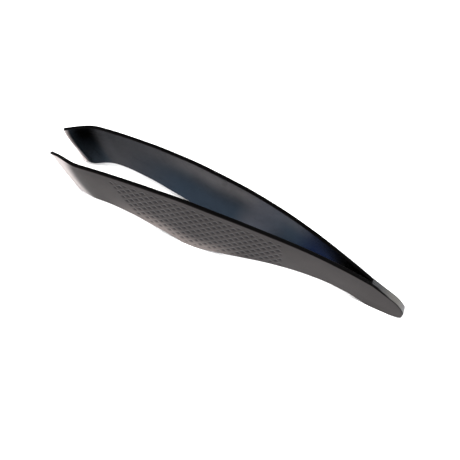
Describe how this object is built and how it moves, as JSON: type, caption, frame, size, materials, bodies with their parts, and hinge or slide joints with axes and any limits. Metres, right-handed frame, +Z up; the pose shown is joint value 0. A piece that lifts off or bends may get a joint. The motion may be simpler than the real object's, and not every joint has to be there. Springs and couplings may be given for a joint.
{
  "type": "slant tweezers",
  "caption": "Slant-tip tweezers: mirror-image bowed spring-steel arms welded at the tail, with diamond grip pads and slanted, ground tips.",
  "frame": {"origin": "centre of the footprint, on the plane that the lower edges of the arms rest on", "axes": "+X from the tips to the tail, +Y across the opening towards the right arm, +Z up across the width of the arms"},
  "size_m": [0.095, 0.0154, 0.0133],
  "materials": {
    "arm_steel": "satin black oxide on spring steel",
    "weld_steel": "bare fused steel"
  },
  "bodies": {
    "tail": {"left_arm_shank": "arm_steel", "right_arm_shank": "arm_steel", "weld_nugget_front": "weld_steel", "weld_nugget_rear": "weld_steel"},
    "left_arm": {"left_arm_blade": "arm_steel"},
    "right_arm": {"right_arm_blade": "arm_steel"}
  },
  "joints": [
    {"name": "left_arm_flex", "type": "hinge", "parent": "tail", "child": "left_arm", "pos_m": [0.0295, -0.00176, 0.00597], "axis": [0, 0, -1], "range_deg": [0, 2.9], "stiffness_Nm_per_rad": 2},
    {"name": "right_arm_flex", "type": "hinge", "parent": "tail", "child": "right_arm", "pos_m": [0.0295, 0.00176, 0.00597], "axis": [0, 0, 1], "range_deg": [0, 2.9], "stiffness_Nm_per_rad": 2}
  ],
  "couplings": [
    {"joint": "right_arm_flex", "follows": "left_arm_flex", "ratio": 1}
  ]
}
